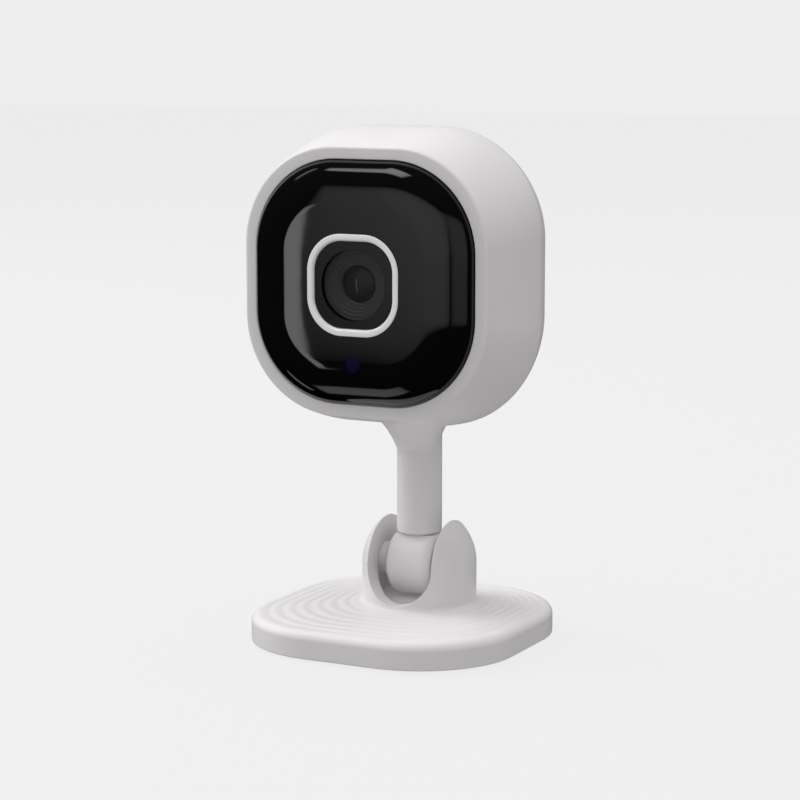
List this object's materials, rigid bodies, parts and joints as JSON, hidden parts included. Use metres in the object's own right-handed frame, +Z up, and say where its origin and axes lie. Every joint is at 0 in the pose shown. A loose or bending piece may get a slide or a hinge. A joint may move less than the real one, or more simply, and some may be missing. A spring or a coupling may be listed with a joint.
{
  "type": "security camera",
  "caption": "Small indoor security camera: rounded-square head with a glossy black front, on a short stem that swivels and tilts in a notched stand.",
  "frame": {"origin": "on the pad's underside, straight below the stem's axis", "axes": "+Z up along the stem, front of the camera towards -Y, +X to the camera's right as seen from the front"},
  "size_m": [0.0512, 0.0482, 0.0894],
  "materials": {
    "white_abs": "satin moulded",
    "white_ring": "semi-gloss",
    "black_acrylic": "high gloss",
    "window_glass": "polished, tinted",
    "lens_glass": "coated",
    "blue_pipe": "clear tinted",
    "black_anodised": "black anodised",
    "black_nylon": "matte moulded",
    "white_nylon": "matte moulded",
    "grey_silicone": "matte",
    "steel": "zinc plated",
    "brass": "turned",
    "circuit_board": "solder mask",
    "battery_foil": "foil",
    "amber_film": "polyimide film"
  },
  "bodies": {
    "stand": {"stand_base": "white_abs", "base_weight": "steel", "base_cover": "white_abs", "foot_pad": "grey_silicone", "base_screw_1": "steel", "base_screw_2": "steel", "base_screw_3": "steel", "hinge_screw": "steel", "hinge_nut": "steel", "friction_washer_left": "black_nylon", "friction_washer_right": "black_nylon"},
    "knuckle": {"tilt_tongue": "white_abs", "swivel_washer": "white_nylon", "swivel_spring_washer": "steel", "swivel_screw": "steel"},
    "head": {"stem": "white_abs", "stem_nut": "brass", "housing": "white_abs", "rear_cover": "white_abs", "rear_screw_1": "steel", "rear_screw_2": "steel", "rear_screw_3": "steel", "rear_screw_4": "steel", "front_panel": "black_acrylic", "panel_gasket": "grey_silicone", "lens_ring": "white_ring", "lens_window": "window_glass", "lens_barrel": "black_anodised", "lens_element": "lens_glass", "lens_holder": "black_nylon", "image_sensor": "black_nylon", "sensor_board": "circuit_board", "sensor_screw_1": "steel", "sensor_screw_2": "steel", "led_board": "circuit_board", "infrared_led_1": "black_nylon", "infrared_led_2": "black_nylon", "infrared_led_3": "black_nylon", "infrared_led_4": "black_nylon", "status_led": "white_nylon", "status_light_pipe": "blue_pipe", "main_board": "circuit_board", "processor_shield": "steel", "battery": "battery_foil", "flex_cable": "amber_film", "antenna": "amber_film", "usb_socket": "steel", "card_socket": "steel", "reset_switch": "black_nylon", "microphone": "steel", "speaker": "black_nylon"},
    "card": {"memory_card": "black_nylon"},
    "button": {"reset_button": "white_abs"}
  },
  "joints": [
    {"name": "tilt", "type": "hinge", "parent": "stand", "child": "knuckle", "pos_m": [0, 0, 0.0121], "axis": [1, 0, 0], "range_deg": [-30, 70]},
    {"name": "swivel", "type": "hinge", "parent": "knuckle", "child": "head", "pos_m": [0, 0, 0.01765], "axis": [0, 0, 1], "continuous": true},
    {"name": "card_slide", "type": "slide", "parent": "head", "child": "card", "axis": [-1, 0, 0], "range_m": [0, 0.012]},
    {"name": "reset_press", "type": "slide", "parent": "head", "child": "button", "axis": [0, -1, 0], "range_m": [0, 0.0005], "stiffness_N_per_m": 1500}
  ]
}
